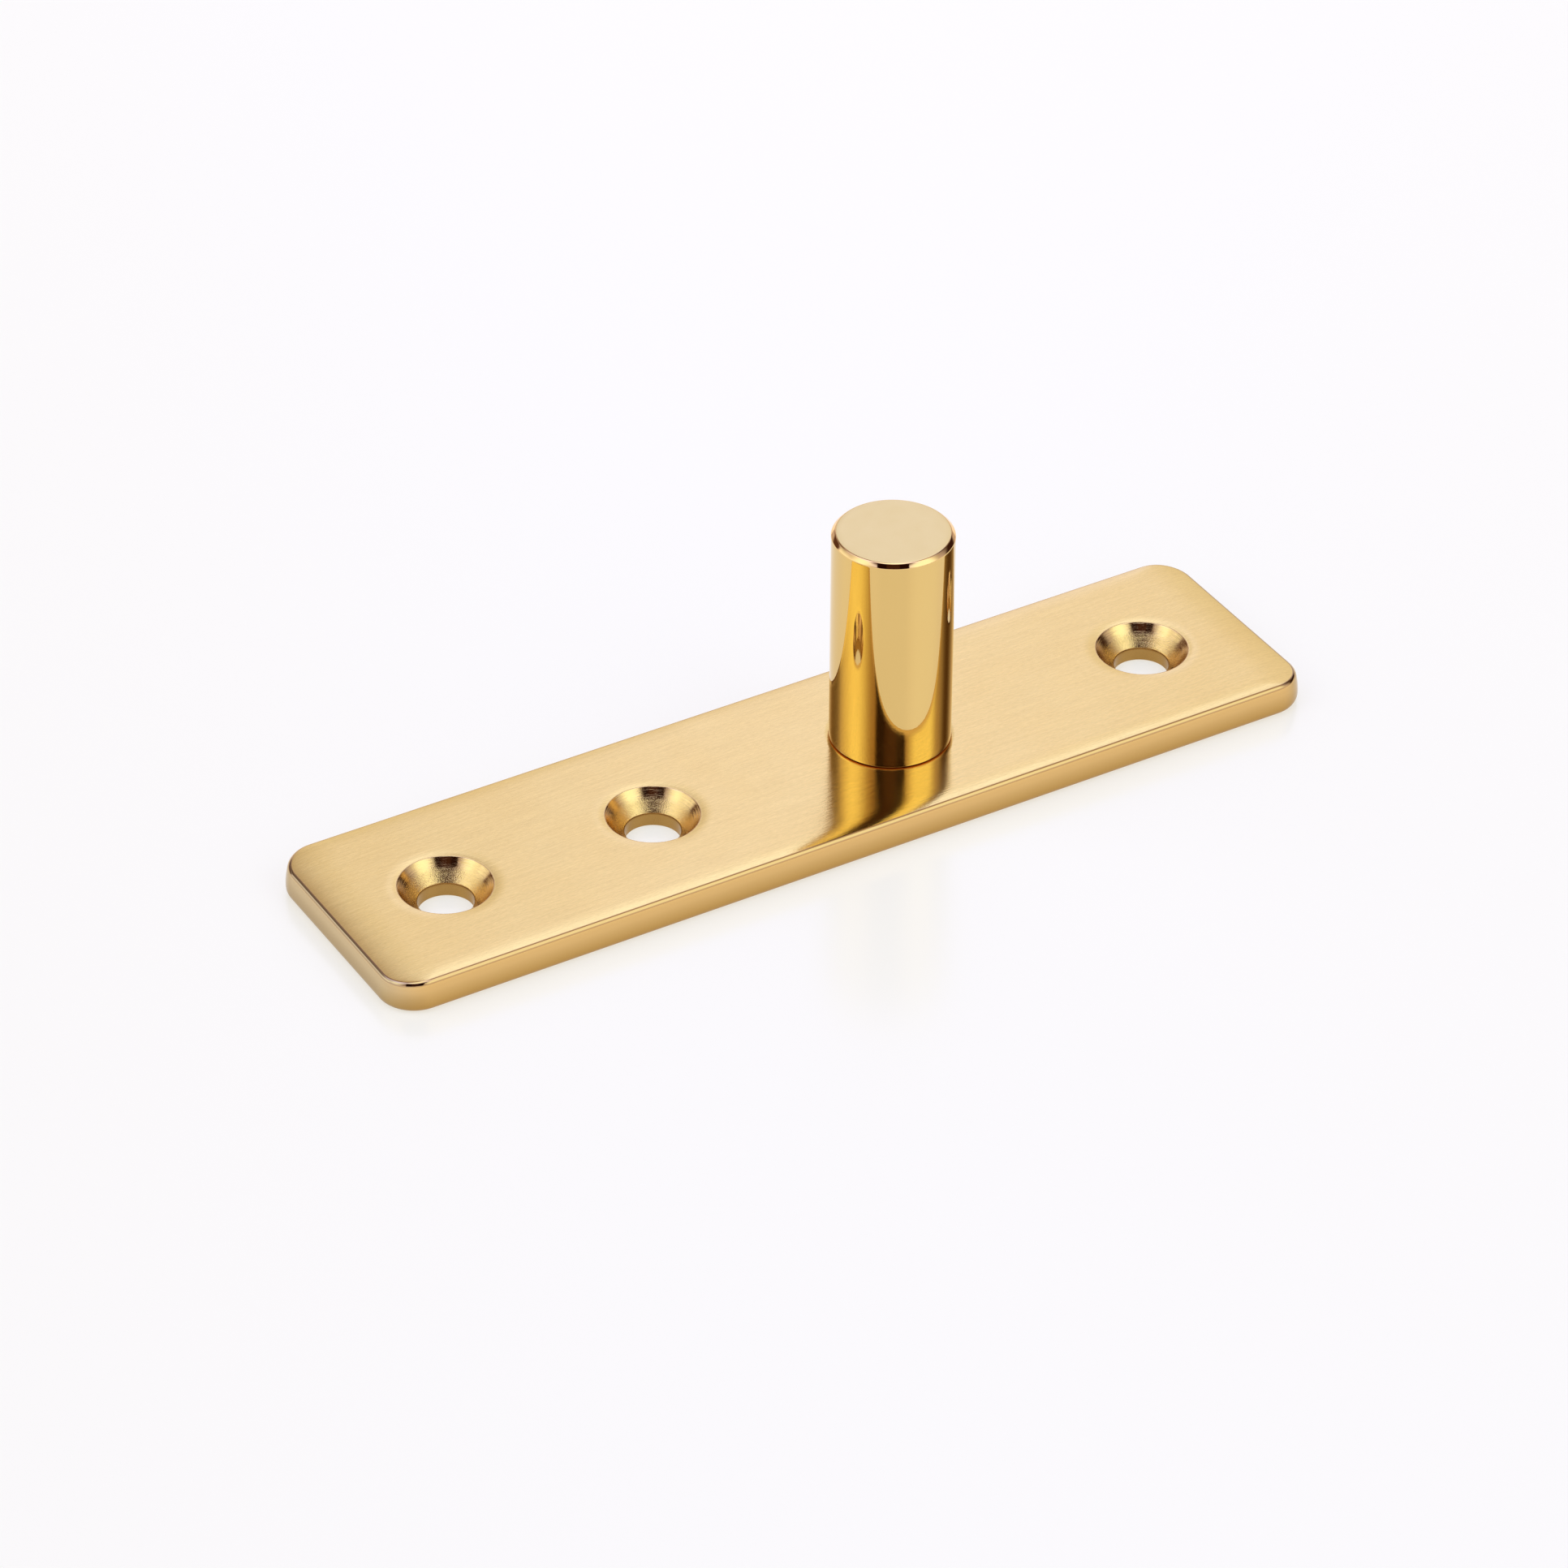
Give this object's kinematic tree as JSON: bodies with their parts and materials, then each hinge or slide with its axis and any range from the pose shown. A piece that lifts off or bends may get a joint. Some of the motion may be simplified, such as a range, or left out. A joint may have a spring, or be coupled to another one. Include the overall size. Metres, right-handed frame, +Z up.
{
  "type": "pivot hinge",
  "caption": "Fixed half of a pivot hinge: a flat round-cornered brass plate with countersunk screw holes and an upright turned pin that the other half turns on.",
  "frame": {"origin": "on the pin's axis, in the plane of the plate's underside, which is the face that is screwed down", "axes": "+Z up the pin, away from the surface that the plate is screwed to; +X along the plate, from the pin towards the end with a single screw; +Y across the plate"},
  "size_m": [0.12, 0.03, 0.0316],
  "materials": {
    "satin_brass": "satin, brushed along the plate's length",
    "polished_brass": "mirror polished"
  },
  "bodies": {
    "root": {"pivot_plate": "satin_brass", "pivot_pin": "polished_brass"}
  },
  "joints": []
}
